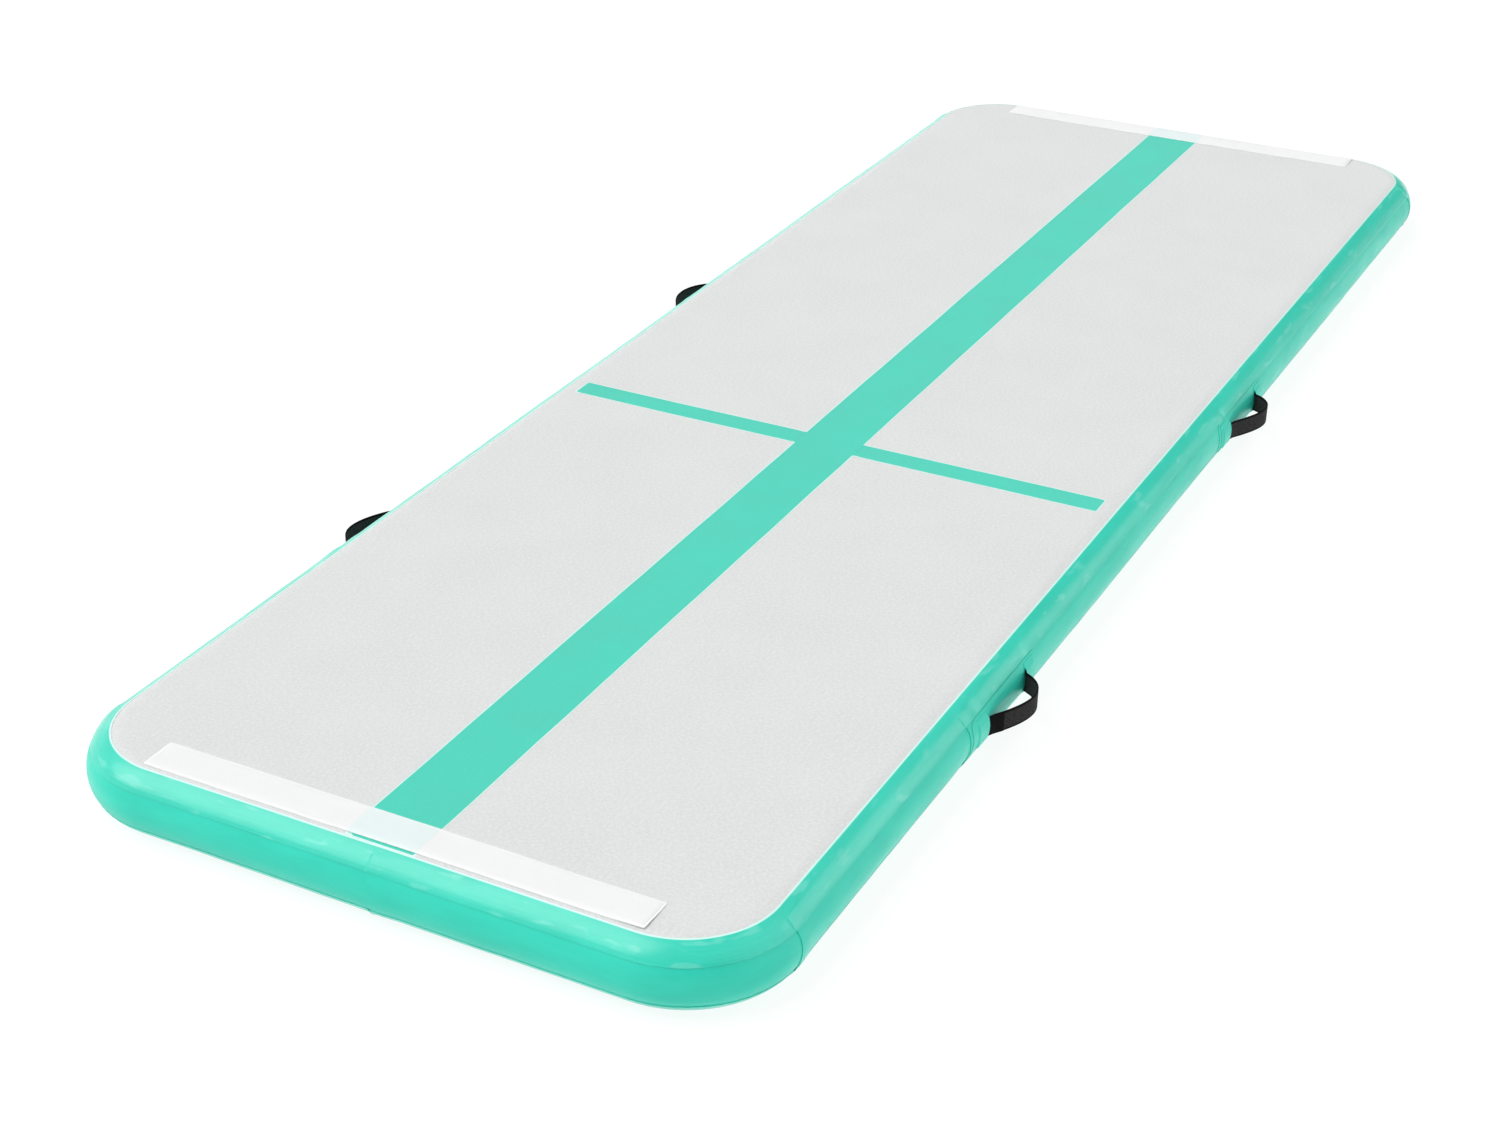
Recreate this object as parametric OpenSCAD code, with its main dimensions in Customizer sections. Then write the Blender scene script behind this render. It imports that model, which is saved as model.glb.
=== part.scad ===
// Inflatable air track mat: a drop-stitch air chamber with a bulging side wall,
// bonded stripes and hook strips on top, four webbing handles and an air valve.
// Millimetres. X runs along the mat, Y across it, Z up. The origin is the middle
// of the underside, which lies on the floor.

/* [Mat] */
// Length over the bulging ends
mat_l = 3000; // [2400:50:4000]
// Width over the bulging sides, without the handles
mat_w = 1000; // [800:50:1400]
// Thickness when inflated; the side wall bulges to half of this
mat_t = 100; // [100:5:150]
// Radius of the plan's corners, over the bulge
corner_r = 155; // [150:5:220]
// Thickness of the top and bottom drop-stitch fabric
skin_t = 1; // [0.8:0.1:1.4]
// Thickness of the outer side band
band_t = 1; // [0.8:0.1:1.4]
// Thickness of the inner side wall
liner_t = 0.8; // [0.6:0.1:1.2]
// Thickness of the edge tapes over the long seams
tape_t = 0.7; // [0.5:0.1:1]
// Pitch of the drop-stitch yarns that are modelled
yarn_pitch = 150; // [100:10:200]

/* [Markings] */
// Width of the centre stripe
stripe_w = 100; // [60:5:150]
// Width of the cross line
cross_w = 44; // [20:1:80]
// Length of the cross line from tip to tip
cross_l = 886; // [600:2:890]
// Place of the cross line along the mat, from mid-length
cross_x = -225; // [-300:1:300]
// Thickness of the bonded stripes
stripe_t = 0.4; // [0.3:0.1:0.6]

/* [Hook strips] */
// Length of a hook strip, across the mat
hook_l = 710; // [400:10:710]
// Width of a hook strip
hook_w = 55; // [30:5:80]
// Thickness of a hook strip
hook_t = 2; // [1.5:0.1:3]
// Distance from the mat's end to the strip's outer edge
hook_inset = 40; // [40:1:80]

/* [Handles] */
// Distance between the two handles of one side
handle_gap = 1020; // [800:10:1200]
// Place of the middle between those handles, from mid-length
handle_x = -225; // [-250:5:250]
// Length of a handle where it leaves the wall
handle_span = 130; // [130:2:180]
// How far a handle stands out from the wall
handle_reach = 34; // [34:1:44]
// Width of the webbing
web_w = 30; // [25:1:32]
// Thickness of the webbing
web_t = 2; // [1.6:0.1:2.4]

/* [Valve] */
// Place of the valve across the far end
valve_y = 250; // [120:10:270]
// Depth of the flat seat below the bulge
valve_depth = 8.5; // [8.5:0.1:9]
// Radius of the valve's bore
valve_bore_r = 12; // [12:0.1:12.2]

/* [Hidden] */
$fn = 72;

// Side wall: a half-round bulge about a centre line inset by its radius
wall_r = mat_t / 2;
mid_z = mat_t / 2;
flat_l = mat_l / 2 - wall_r;
flat_w = mat_w / 2 - wall_r;
flat_r = corner_r - wall_r;
// Angles round the bulge, from straight up, of the edges of its layers
skin_end = 30;
tape_start = 17.5;
tape_end = 58;
patch_half = 31.5;
// Gap between sheets that are bonded edge to edge
joint_gap = 0.3;

// Seams of the outer band, along X from mid-length
end_seam_x = mat_l / 2 - 145;
side_seam_x = -mat_l / 2 + 640;

// Handles: a flat strap bent to an arc, hinged where it clears the wall
arc_r = (pow(handle_span / 2, 2) + pow(handle_reach, 2)) / (2 * handle_reach);
arc_y = mat_w / 2 + handle_reach - arc_r;
loop_half = handle_span / 2 - 14;
patch_t = 0.8;
patch_l = handle_span + 100;
flap_end = handle_span / 2 + 40;
tail_end = handle_span / 2 + 30;
tail_half = asin(web_w / 2 / (wall_r + patch_t));
flap_half = tail_half + 9;

// Valve: levels outwards from the seat along the valve's axis
seat_x = mat_l / 2 - valve_depth;
recess_r = 26.5;
skirt_t = 1.5;
gasket_t = 0.8;
flange_r = 22;
flange_top = gasket_t + 2.2;
tube_r = valve_bore_r + 3.8;
tube_back = -36;
web_front = -24;
web_back = -27;
seat_bore_r = 10.5;
stem_r = 1.8;
stem_run = 0.06;
press_gap = 0.2;
disc_t = 2.5;
button_back = -12;
button_front = -9.5;
spring_r = 5;
wire_r = 0.5;
cap_r = 20;
cap_back = flange_top + 0.2;
cap_front = cap_back + 2.7;
plug_r = valve_bore_r - 0.1;
groove_r = 17.8;

mint = [0.29, 0.85, 0.76];
grey = [0.89, 0.89, 0.89];
black = [0.10, 0.10, 0.11];

// ---- outlines -------------------------------------------------------------

// Sector of a ring, angles from straight up towards the outside
module ring_sector(r_in, r_out, from, to) {
  steps = 8;
  reach = 2 * r_out;
  intersection() {
    difference() {
      circle(r_out);
      circle(r_in);
    }
    polygon(concat([[0, 0]], [for (i = [0 : steps])
      let (a = from + (to - from) * i / steps) [reach * sin(a), reach * cos(a)]]));
  }
}

module round_rect(half_l, half_w, r) {
  square([2 * (half_l - r), 2 * half_w], center = true);
  square([2 * half_l, 2 * (half_w - r)], center = true);
  for (sx = [-1, 1], sy = [-1, 1])
    translate([sx * (half_l - r), sy * (half_w - r)]) circle(r);
}

// ---- sweeps round the edge: the 2D child has X outwards and Y up -----------

module left_run(from, to) {
  translate([from, flat_w, mid_z]) rotate([90, 0, 90]) linear_extrude(to - from) children();
}

module far_run(from, to) {
  translate([flat_l, to, mid_z]) rotate([90, 0, 0]) linear_extrude(to - from) children();
}

module far_left_corner() {
  translate([flat_l - flat_r, flat_w - flat_r, mid_z])
    rotate_extrude(angle = 90) translate([flat_r, 0]) children();
}

module whole_edge() {
  for (m = [0, 1]) {
    mirror([0, m, 0]) left_run(-flat_l + flat_r, flat_l - flat_r) children();
    mirror([m, 0, 0]) far_run(-flat_w + flat_r, flat_w - flat_r) children();
    for (n = [0, 1])
      mirror([m, 0, 0]) mirror([0, n, 0]) far_left_corner() children();
  }
}

// ---- air chamber ----------------------------------------------------------

// Top fabric with its edge rolled over the shoulder
module skin_sheet() {
  translate([0, 0, mat_t - skin_t]) linear_extrude(skin_t) round_rect(flat_l, flat_w, flat_r);
  whole_edge() ring_sector(wall_r - skin_t, wall_r, 0, skin_end);
}

module top_skin() {
  color(grey) skin_sheet();
}

module bottom_skin() {
  color(grey) translate([0, 0, mat_t]) mirror([0, 0, 1]) skin_sheet();
}

module drop_stitch_yarns() {
  nx = floor((flat_l - 120) / yarn_pitch);
  ny = floor((flat_w - 60) / yarn_pitch);
  color("white")
    for (i = [-nx : nx], j = [-ny : ny])
      translate([i * yarn_pitch, j * yarn_pitch, skin_t])
        cylinder(r = 0.8, h = mat_t - 2 * skin_t, $fn = 16);
}

module valve_hole(r) {
  translate([seat_x - 30, valve_y, mid_z]) rotate([0, 90, 0]) cylinder(r = r, h = 60);
}

module inner_side_wall() {
  color(mint) difference() {
    whole_edge() ring_sector(wall_r - skin_t - liner_t, wall_r - skin_t, 12, 168);
    valve_hole(recess_r + 0.2);
  }
}

// The outer band between two limits of X on one side, Y above zero
module side_band(from, to) {
  color(mint) intersection() {
    union() {
      left_run(-flat_l + flat_r, flat_l - flat_r) band_outline();
      far_left_corner() band_outline();
      mirror([1, 0, 0]) far_left_corner() band_outline();
    }
    translate([from, 0, 0]) cube([to - from, mat_w, mat_t]);
  }
}

module band_outline() {
  edge = skin_end + 0.35;
  ring_sector(wall_r - band_t, wall_r, edge, 180 - edge);
}

// The outer band round the far left corner, up to the seam in mid-width
module end_band() {
  color(mint) intersection() {
    union() {
      far_run(0, flat_w - flat_r) band_outline();
      far_left_corner() band_outline();
    }
    translate([end_seam_x, joint_gap / 2, 0]) cube([mat_l, mat_w, mat_t]);
  }
}

module far_band_left() {
  difference() {
    end_band();
    valve_hole(recess_r + 0.2);
  }
}

module far_band_right() {
  mirror([0, 1, 0]) end_band();
}

module near_band_left() {
  mirror([1, 0, 0]) end_band();
}

module near_band_right() {
  mirror([1, 0, 0]) mirror([0, 1, 0]) end_band();
}

module side_band_left_near() {
  side_band(-end_seam_x + joint_gap, side_seam_x);
}

module side_band_left_far() {
  side_band(side_seam_x + joint_gap, end_seam_x - joint_gap);
}

module side_band_right_near() {
  mirror([0, 1, 0]) side_band_left_near();
}

module side_band_right_far() {
  mirror([0, 1, 0]) side_band_left_far();
}

module top_edge_tape() {
  color(mint) whole_edge() ring_sector(wall_r, wall_r + tape_t, tape_start, tape_end);
}

module bottom_edge_tape() {
  color(mint) whole_edge() ring_sector(wall_r, wall_r + tape_t, 180 - tape_end, 180 - tape_start);
}

// ---- markings and hook strips ---------------------------------------------

module centre_stripe() {
  color(mint) {
    translate([-flat_l, -stripe_w / 2, mat_t]) cube([2 * flat_l, stripe_w, stripe_t]);
    for (m = [0, 1])
      mirror([m, 0, 0]) far_run(-stripe_w / 2, stripe_w / 2)
        ring_sector(wall_r, wall_r + stripe_t, 0, tape_start - 0.4);
  }
}

module cross_line_left() {
  start = stripe_w / 2 + joint_gap;
  color(mint) translate([cross_x - cross_w / 2, start, mat_t])
    cube([cross_w, cross_l / 2 - start, stripe_t]);
}

module cross_line_right() {
  mirror([0, 1, 0]) cross_line_left();
}

// Hook tape, with its underside relieved where it crosses the centre stripe
module far_hook_strip() {
  color("white") difference() {
    translate([mat_l / 2 - hook_inset - hook_w, -hook_l / 2, mat_t]) cube([hook_w, hook_l, hook_t]);
    translate([mat_l / 2 - hook_inset - hook_w - 1, -stripe_w / 2 - joint_gap, mat_t - 1])
      cube([hook_w + 2, stripe_w + 2 * joint_gap, stripe_t + 1]);
  }
}

module near_hook_strip() {
  mirror([1, 0, 0]) far_hook_strip();
}

// ---- handles: each drawn on the left side about X = 0 ----------------------

// The strap's arc between two distances from the handle's middle
module strap_arc(from, to) {
  translate([0, arc_y, mid_z]) intersection() {
    difference() {
      cylinder(r = arc_r + web_t / 2, h = web_w, center = true, $fn = 180);
      cylinder(r = arc_r - web_t / 2, h = web_w + 2, center = true, $fn = 180);
    }
    translate([from, 0, -web_w]) cube([to - from, 2 * arc_r, 2 * web_w]);
  }
}

module handle_loop() {
  color(black) strap_arc(-loop_half, loop_half);
}

// Where the strap turns down onto the wall and lies under its flap
module handle_tails() {
  wall_y = mat_w / 2 + patch_t;
  color(black) for (m = [0, 1]) mirror([m, 0, 0]) {
    intersection() {
      strap_arc(loop_half + joint_gap, handle_span / 2 + 4);
      translate([0, wall_y + 0.4, 0]) cube([handle_span, handle_reach, mat_t]);
    }
    left_run(handle_span / 2 - 4, tail_end)
      ring_sector(wall_r + patch_t, wall_r + patch_t + web_t, 90 - tail_half, 90 + tail_half);
  }
}

module handle_patch() {
  color(mint) intersection() {
    left_run(-patch_l / 2, patch_l / 2)
      ring_sector(wall_r, wall_r + patch_t, 90 - patch_half, 90 + patch_half);
    translate([0, mat_w / 2 - wall_r, mid_z]) rotate([-90, 0, 0])
      linear_extrude(2 * wall_r) round_rect(patch_l / 2, wall_r * sin(patch_half) + 1, 14);
  }
}

module handle_flaps() {
  inner = wall_r + patch_t;
  color(mint) for (m = [0, 1]) mirror([m, 0, 0]) difference() {
    left_run(handle_span / 2 + 2, flap_end)
      ring_sector(inner, inner + web_t + patch_t, 90 - flap_half, 90 + flap_half);
    left_run(handle_span / 2 - 4, tail_end + joint_gap)
      ring_sector(inner - 1, inner + web_t, 90 - tail_half - 0.4, 90 + tail_half + 0.4);
  }
}

// end: 1 is the far handle, -1 the near one; side: 0 is left, 1 is right
module place_handle(end, side) {
  translate([handle_x + end * handle_gap / 2, 0, 0]) mirror([0, side, 0]) children();
}

// ---- valve: drawn about its own axis, +X outwards, X = 0 on the seat --------

module on_valve() {
  translate([seat_x, valve_y, mid_z]) children();
}

// Tube or disc along the valve's axis; r_in = 0 makes it solid
module valve_ring(r_in, r_out, from, to) {
  translate([from, 0, 0]) rotate([0, 90, 0]) difference() {
    cylinder(r = r_out, h = to - from);
    if (r_in > 0) translate([0, 0, -1]) cylinder(r = r_in, h = to - from + 2);
  }
}

// Pressed-in seat: a flat floor, a skirt up to the bulge and a bonded collar on it
module valve_seat_patch() {
  color(mint) {
    on_valve() valve_ring(tube_r + 0.2, recess_r, -skirt_t, 0);
    intersection() {
      on_valve() valve_ring(recess_r - skirt_t, recess_r, -skirt_t, 20);
      translate([0, -flat_w, 0]) far_run(0, 2 * flat_w) circle(wall_r + patch_t);
    }
    difference() {
      intersection() {
        far_run(0, flat_w)
          ring_sector(wall_r, wall_r + patch_t, tape_end + 0.5, 179.5 - tape_end);
        on_valve() valve_ring(0, 42, -20, 20);
      }
      on_valve() valve_ring(0, recess_r - 0.1, -20, 20);
    }
  }
}

module valve_outer_gasket() {
  color(black) on_valve() valve_ring(tube_r + 0.2, flange_r - 1, 0, gasket_t);
}

module valve_inner_gasket() {
  color(black) on_valve() valve_ring(tube_r + 0.2, flange_r - 1, -skirt_t - gasket_t, -skirt_t);
}

// Flanged tube with a spider that guides the stem and a rim that the disc seals on
module valve_body() {
  hub_r = 3.5;
  color([0.24, 0.25, 0.26]) on_valve() {
    valve_ring(valve_bore_r, flange_r, gasket_t, flange_top);
    valve_ring(valve_bore_r, tube_r, web_front, flange_top);
    valve_ring(seat_bore_r, tube_r, tube_back, web_front);
    valve_ring(stem_r + stem_run, hub_r, web_back, web_front);
    for (a = [0 : 120 : 240]) rotate([a, 0, 0])
      translate([web_back, -1.2, hub_r - 0.5])
        cube([web_front - web_back, 2.4, seat_bore_r - hub_r + 1]);
  }
}

module valve_back_nut() {
  nut_r = 23;
  notches = 8;
  color(black) on_valve() difference() {
    valve_ring(tube_r + 0.2, nut_r, -skirt_t - gasket_t - 8, -skirt_t - gasket_t);
    for (i = [0 : notches - 1]) rotate([i * 360 / notches, 0, 0])
      translate([0, 0, nut_r + 1]) valve_ring(0, 3.2, -20, 0);
  }
}

module valve_stem() {
  back = tube_back - press_gap - disc_t;
  color("white") on_valve() {
    valve_ring(0, 11, back - 1.5, back);
    valve_ring(0, stem_r, back - 1.5, button_front + 1.3);
  }
}

module valve_seal_disc() {
  back = tube_back - press_gap - disc_t;
  color(black) on_valve() valve_ring(stem_r, 13.5, back, back + disc_t);
}

module valve_stem_clip() {
  color("silver") on_valve() valve_ring(stem_r, 3, button_front + 0.2, button_front + 0.8);
}

// Push button: press it to let air out, turn it to keep the valve open
module valve_button() {
  color("white") on_valve() {
    valve_ring(stem_r + stem_run, 8, button_back, button_front);
    for (s = [-1, 1])
      translate([button_front - 0.1, s * 5.75 - 1.75, -2]) cube([2.6, 3.5, 4]);
  }
}

// Point on the spring's wire: turn t, and angle b round the wire
function coil_point(t, b, pitch) =
  let (r = spring_r + wire_r * cos(b), a = 360 * t)
  [pitch * t + wire_r * sin(b), r * cos(a), r * sin(a)];

module valve_spring() {
  turns = 5;
  per_turn = 20;
  sides = 8;
  rings = turns * per_turn;
  free = button_back - web_front - 0.4;
  pitch = (free - 2 * wire_r) / turns;
  points = [for (i = [0 : rings], j = [0 : sides - 1])
    coil_point(i / per_turn, j * 360 / sides, pitch)];
  skin = [for (i = [0 : rings - 1], j = [0 : sides - 1])
    let (k = (j + 1) % sides)
    [i * sides + j, i * sides + k, (i + 1) * sides + k, (i + 1) * sides + j]];
  ends = [[for (j = [sides - 1 : -1 : 0]) j], [for (j = [0 : sides - 1]) rings * sides + j]];
  color("silver") on_valve() translate([web_front + 0.2 + wire_r, 0, 0])
    polyhedron(points, concat(skin, ends), convexity = 8);
}

// Screw cap: a hollow plug, a grooved rim for the leash and a finger grip
module valve_cap() {
  color(black) on_valve() {
    valve_ring(plug_r - 2.4, plug_r, -4.5, cap_back + 0.7);
    difference() {
      valve_ring(0, cap_r, cap_back, cap_front);
      valve_ring(13, 16, cap_back - 1, cap_back + 0.7);
      valve_ring(groove_r, cap_r + 1, cap_back + 0.8, cap_front - 0.7);
    }
    translate([cap_front - 0.1, -14, -3]) cube([2.5, 28, 6]);
  }
}

module valve_cap_seal() {
  color([0.3, 0.3, 0.3]) on_valve() valve_ring(13, 16, cap_back - 0.1, cap_back + 0.7);
}

module valve_leash_ring() {
  color(black) on_valve() valve_ring(flange_r + 0.2, flange_r + 2.6, 0.2, 1.8);
}

// Collar that turns in the cap's groove, with a tab down to the leash ring
module valve_leash() {
  collar_back = cap_back + 0.9;
  collar_front = cap_front - 0.8;
  color(black) on_valve() {
    valve_ring(groove_r + 0.2, 21.5, collar_back, collar_front);
    translate([collar_back, 20, -3]) cube([collar_front - collar_back, 4.2, 6]);
    translate([2, 22.8, -3]) cube([collar_front - 2, 1.4, 6]);
  }
}

// ---- nodes ----------------------------------------------------------------

top_skin();
bottom_skin();
drop_stitch_yarns();
inner_side_wall();
near_band_left();
near_band_right();
far_band_left();
far_band_right();
side_band_left_near();
side_band_left_far();
side_band_right_near();
side_band_right_far();
top_edge_tape();
bottom_edge_tape();
centre_stripe();
cross_line_left();
cross_line_right();
near_hook_strip();
far_hook_strip();
place_handle(-1, 0) handle_loop();  // left_near_handle_loop
place_handle(-1, 0) handle_tails();  // left_near_handle_tails
place_handle(-1, 0) handle_patch();  // left_near_handle_patch
place_handle(-1, 0) handle_flaps();  // left_near_handle_flaps
place_handle(1, 0) handle_loop();  // left_far_handle_loop
place_handle(1, 0) handle_tails();  // left_far_handle_tails
place_handle(1, 0) handle_patch();  // left_far_handle_patch
place_handle(1, 0) handle_flaps();  // left_far_handle_flaps
place_handle(-1, 1) handle_loop();  // right_near_handle_loop
place_handle(-1, 1) handle_tails();  // right_near_handle_tails
place_handle(-1, 1) handle_patch();  // right_near_handle_patch
place_handle(-1, 1) handle_flaps();  // right_near_handle_flaps
place_handle(1, 1) handle_loop();  // right_far_handle_loop
place_handle(1, 1) handle_tails();  // right_far_handle_tails
place_handle(1, 1) handle_patch();  // right_far_handle_patch
place_handle(1, 1) handle_flaps();  // right_far_handle_flaps
valve_seat_patch();
valve_outer_gasket();
valve_body();
valve_inner_gasket();
valve_back_nut();
valve_stem();
valve_seal_disc();
valve_stem_clip();
valve_spring();
valve_button();
valve_cap();
valve_cap_seal();
valve_leash_ring();
valve_leash();
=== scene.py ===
"""Looks of an inflatable air track mat: coated fabrics, bonded tapes, webbing handles, air valve."""
import math

import bpy
import numpy as np
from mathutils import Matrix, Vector


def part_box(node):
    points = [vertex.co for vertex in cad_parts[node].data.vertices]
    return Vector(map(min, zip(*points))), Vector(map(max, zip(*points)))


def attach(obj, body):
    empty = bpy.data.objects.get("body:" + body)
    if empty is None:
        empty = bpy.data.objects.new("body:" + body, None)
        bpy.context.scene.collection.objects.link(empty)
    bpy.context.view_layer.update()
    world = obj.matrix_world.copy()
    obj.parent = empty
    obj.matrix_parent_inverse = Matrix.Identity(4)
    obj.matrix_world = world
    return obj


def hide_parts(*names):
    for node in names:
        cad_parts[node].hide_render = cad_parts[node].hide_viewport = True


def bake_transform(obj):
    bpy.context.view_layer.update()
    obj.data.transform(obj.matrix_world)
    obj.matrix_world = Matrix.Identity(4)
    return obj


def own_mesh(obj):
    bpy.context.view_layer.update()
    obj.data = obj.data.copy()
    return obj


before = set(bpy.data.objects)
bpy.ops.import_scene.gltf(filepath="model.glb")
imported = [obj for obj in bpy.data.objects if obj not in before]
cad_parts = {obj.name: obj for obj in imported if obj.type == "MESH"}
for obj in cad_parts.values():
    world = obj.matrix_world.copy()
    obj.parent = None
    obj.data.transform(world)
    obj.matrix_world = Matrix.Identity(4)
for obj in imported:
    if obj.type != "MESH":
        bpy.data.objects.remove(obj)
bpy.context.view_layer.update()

MM = 0.001
TURN, QUARTER = 2 * math.pi, math.pi / 2

# ---- sizes, in metres ----

HALF_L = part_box("far_band_right")[1].x
HALF_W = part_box("side_band_left_far")[1].y
MAT_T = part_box("top_skin")[1].z
CORNER_R = 0.155
WALL_R = MAT_T / 2
MID_Z = MAT_T / 2
FLAT_L = HALF_L - WALL_R
FLAT_W = HALF_W - WALL_R
FLAT_R = CORNER_R - WALL_R

SKIN_T = 1.0 * MM
BAND_T = 1.0 * MM
TAPE_T = 0.7 * MM
PATCH_T = 0.8 * MM
STRIPE_T = 0.4 * MM
STRIPE_HALF_W = 50 * MM
HOOK_T = 1.6 * MM
WEB_T = 2.0 * MM
# Air between two layers that touch
GAP = 0.03 * MM

# Angles round the bulge, from straight up, of the edges of its layers
SKIN_END = math.radians(30)
BAND_START = math.radians(30.35)
TAPE_START = math.radians(17.5)
TAPE_END = math.radians(58)
PATCH_HALF = math.radians(31.5)

# Lengths of the parts of the outline, measured over the bulge
END_HALF = HALF_W - CORNER_R
SIDE = 2 * (HALF_L - CORNER_R)
ARC = CORNER_R * QUARTER
RIM = 4 * END_HALF + 4 * ARC + 2 * SIDE

HANDLES = ["left_near_handle", "left_far_handle", "right_near_handle", "right_far_handle"]
SEAT_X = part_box("valve_body")[1].x - 3.0 * MM
VALVE_Y = sum(c.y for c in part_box("valve_cap")) / 2
# The patch that seats the valve, its hole, and the hollow it is drawn in to
SEAT_R, SEAT_HOLE_R = 42 * MM, 16 * MM
RECESS_R = 26.5 * MM
# How far a band laps over the one before it, and how softly the upper layers settle past the lap
LAP = 14 * MM
LAP_FADE = 30 * MM


def smooth(x, low, high):
    """From 0 at low to 1 at high, with flat ends."""
    t = np.clip((np.asarray(x, float) - low) / (high - low), 0, 1)
    return t * t * (3 - 2 * t)


def hill(x, width):
    """A soft hill of height 1 at x = 0."""
    return np.exp(-((x / width) ** 2))


def full_turn(count):
    """Evenly spaced angles of one turn."""
    return np.linspace(0, TURN, count, endpoint=False)


def ripple(p, q, wave, seed):
    """Soft random relief, mostly between -1 and 1, with features of about that wavelength."""
    rng = np.random.default_rng(seed)
    terms, total = 7, 0.0
    for _ in range(terms):
        heading, shift = rng.uniform(0, TURN, 2)
        k = TURN / (wave * rng.uniform(0.7, 1.5))
        total = total + np.sin(k * (p * math.cos(heading) + q * math.sin(heading)) + shift)
    return total / terms ** 0.5 * 0.8


# ---- the bulging wall ----

def rim_parts():
    """(start, length, first point, outward heading, turns) of each part of the outline."""
    straight_x, straight_y = FLAT_L - FLAT_R, FLAT_W - FLAT_R
    corners = [(-1, -1), (1, -1), (1, 1), (-1, 1)]
    sides = [SIDE, 2 * END_HALF, SIDE, END_HALF]
    starts = [
        (-straight_x, -FLAT_W), (FLAT_L, -straight_y), (straight_x, FLAT_W), (-FLAT_L, straight_y),
    ]
    parts = [(0.0, END_HALF, (-FLAT_L, 0.0), math.pi, False)]
    at, heading = END_HALF, math.pi
    for (sx, sy), length, start in zip(corners, sides, starts):
        parts.append((at, ARC, (sx * straight_x, sy * straight_y), heading, True))
        at, heading = at + ARC, heading + QUARTER
        parts.append((at, length, start, heading, False))
        at += length
    return parts


def rim(u):
    """Centre line of the bulge and the outward direction, at distance u round the mat."""
    u = np.mod(np.asarray(u, float), RIM)
    cx, cy, nx, ny = (np.zeros_like(u) for _ in range(4))
    for start, length, (px, py), heading, turns in rim_parts():
        here = (u >= start) & (u <= start + length)
        t = u[here] - start
        angle = heading + (t / CORNER_R if turns else 0 * t)
        nx[here], ny[here] = np.cos(angle), np.sin(angle)
        if turns:
            cx[here], cy[here] = px + FLAT_R * np.cos(angle), py + FLAT_R * np.sin(angle)
        else:
            cx[here], cy[here] = px - t * math.sin(heading), py + t * math.cos(heading)
    return cx, cy, nx, ny


def right_u(x):
    """Distance round the mat of a place along its right side."""
    return END_HALF + ARC + x + SIDE / 2


def left_u(x):
    """Distance round the mat of a place along its left side."""
    return RIM - right_u(x)


def on_left(handle):
    """Whether a handle is on the mat's left side."""
    return handle.startswith("left")


def handle_middle(handle):
    """Distance round the mat of the middle of a handle."""
    low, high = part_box(handle + "_loop")
    x = (low.x + high.x) / 2
    return left_u(x) if on_left(handle) else right_u(x)


END_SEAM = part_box("far_band_right")[0].x
SIDE_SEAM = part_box("side_band_right_near")[1].x
SEAMS = [
    0.0, right_u(-END_SEAM), right_u(SIDE_SEAM), right_u(END_SEAM),
    RIM / 2, left_u(END_SEAM), left_u(SIDE_SEAM), left_u(-END_SEAM),
]
HANDLE_U = {handle: handle_middle(handle) for handle in HANDLES}
# Where a loop leaves the wall, from its middle, and how far it stands off the wall
STRAP_END = 65 * MM
STRAP_REACH = 34 * MM


def away(u, place):
    """Signed distance round the mat from a place."""
    return np.mod(u - place + RIM / 2, RIM) - RIM / 2


def corner_share(u):
    """1 in the round corners, 0 along the straight parts."""
    share = 0.0
    for start, length, _, _, turns in rim_parts():
        if turns:
            off_middle = np.abs(away(u, start + length / 2))
            share = share + 1 - smooth(off_middle, length * 0.3, length * 0.7)
    return share


# Depth and length of the wall's waves, crinkles and corner gathers
WAVE_DEPTH, WAVE_LENGTH = 0.55 * MM, 0.26
CRINKLE_DEPTH, CRINKLE_LENGTH = 0.16 * MM, 0.06
GATHER_DEPTH, GATHER_LENGTH = 0.16 * MM, 15 * MM
# Depth of the dip beside a tape, and its width as an angle
DIP_DEPTH, DIP_WIDTH = 0.35 * MM, 0.05
# Depth of the pull marks that fan out from a strap's end, and of the swell and the hollow at a handle
PULL_DEPTH = 0.22 * MM
SWELL_DEPTH = 0.8 * MM


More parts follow.
